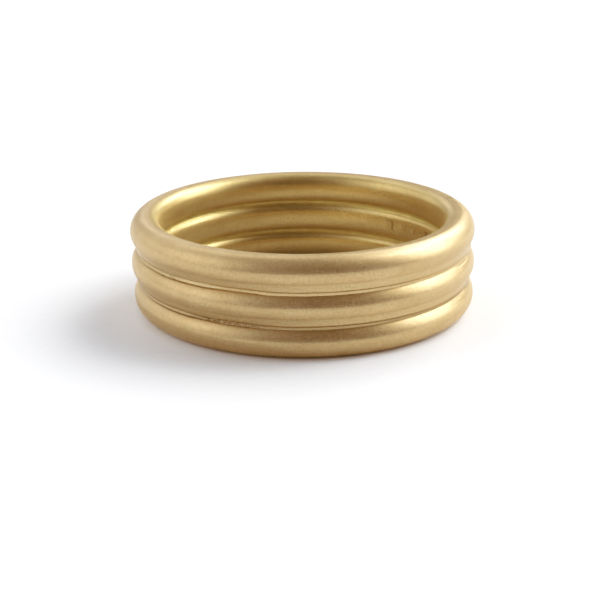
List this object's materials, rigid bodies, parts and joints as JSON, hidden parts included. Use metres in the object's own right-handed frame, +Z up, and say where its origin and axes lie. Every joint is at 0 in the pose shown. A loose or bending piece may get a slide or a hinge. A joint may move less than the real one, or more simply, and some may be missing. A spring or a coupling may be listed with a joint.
{
  "type": "wedding ring",
  "caption": "Gold finger ring of round wires soldered side by side into a wide ribbed band, open for the finger, lying flat.",
  "frame": {"origin": "centre of the finger hole, on the surface that the ring lies on", "axes": "+Z up along the finger hole; X and Y across the ring"},
  "size_m": [0.0212, 0.0212, 0.006],
  "materials": {
    "gold": "yellow gold, satin on the outside and polished inside the finger hole"
  },
  "bodies": {
    "root": {"wire_band": "gold"}
  },
  "joints": []
}
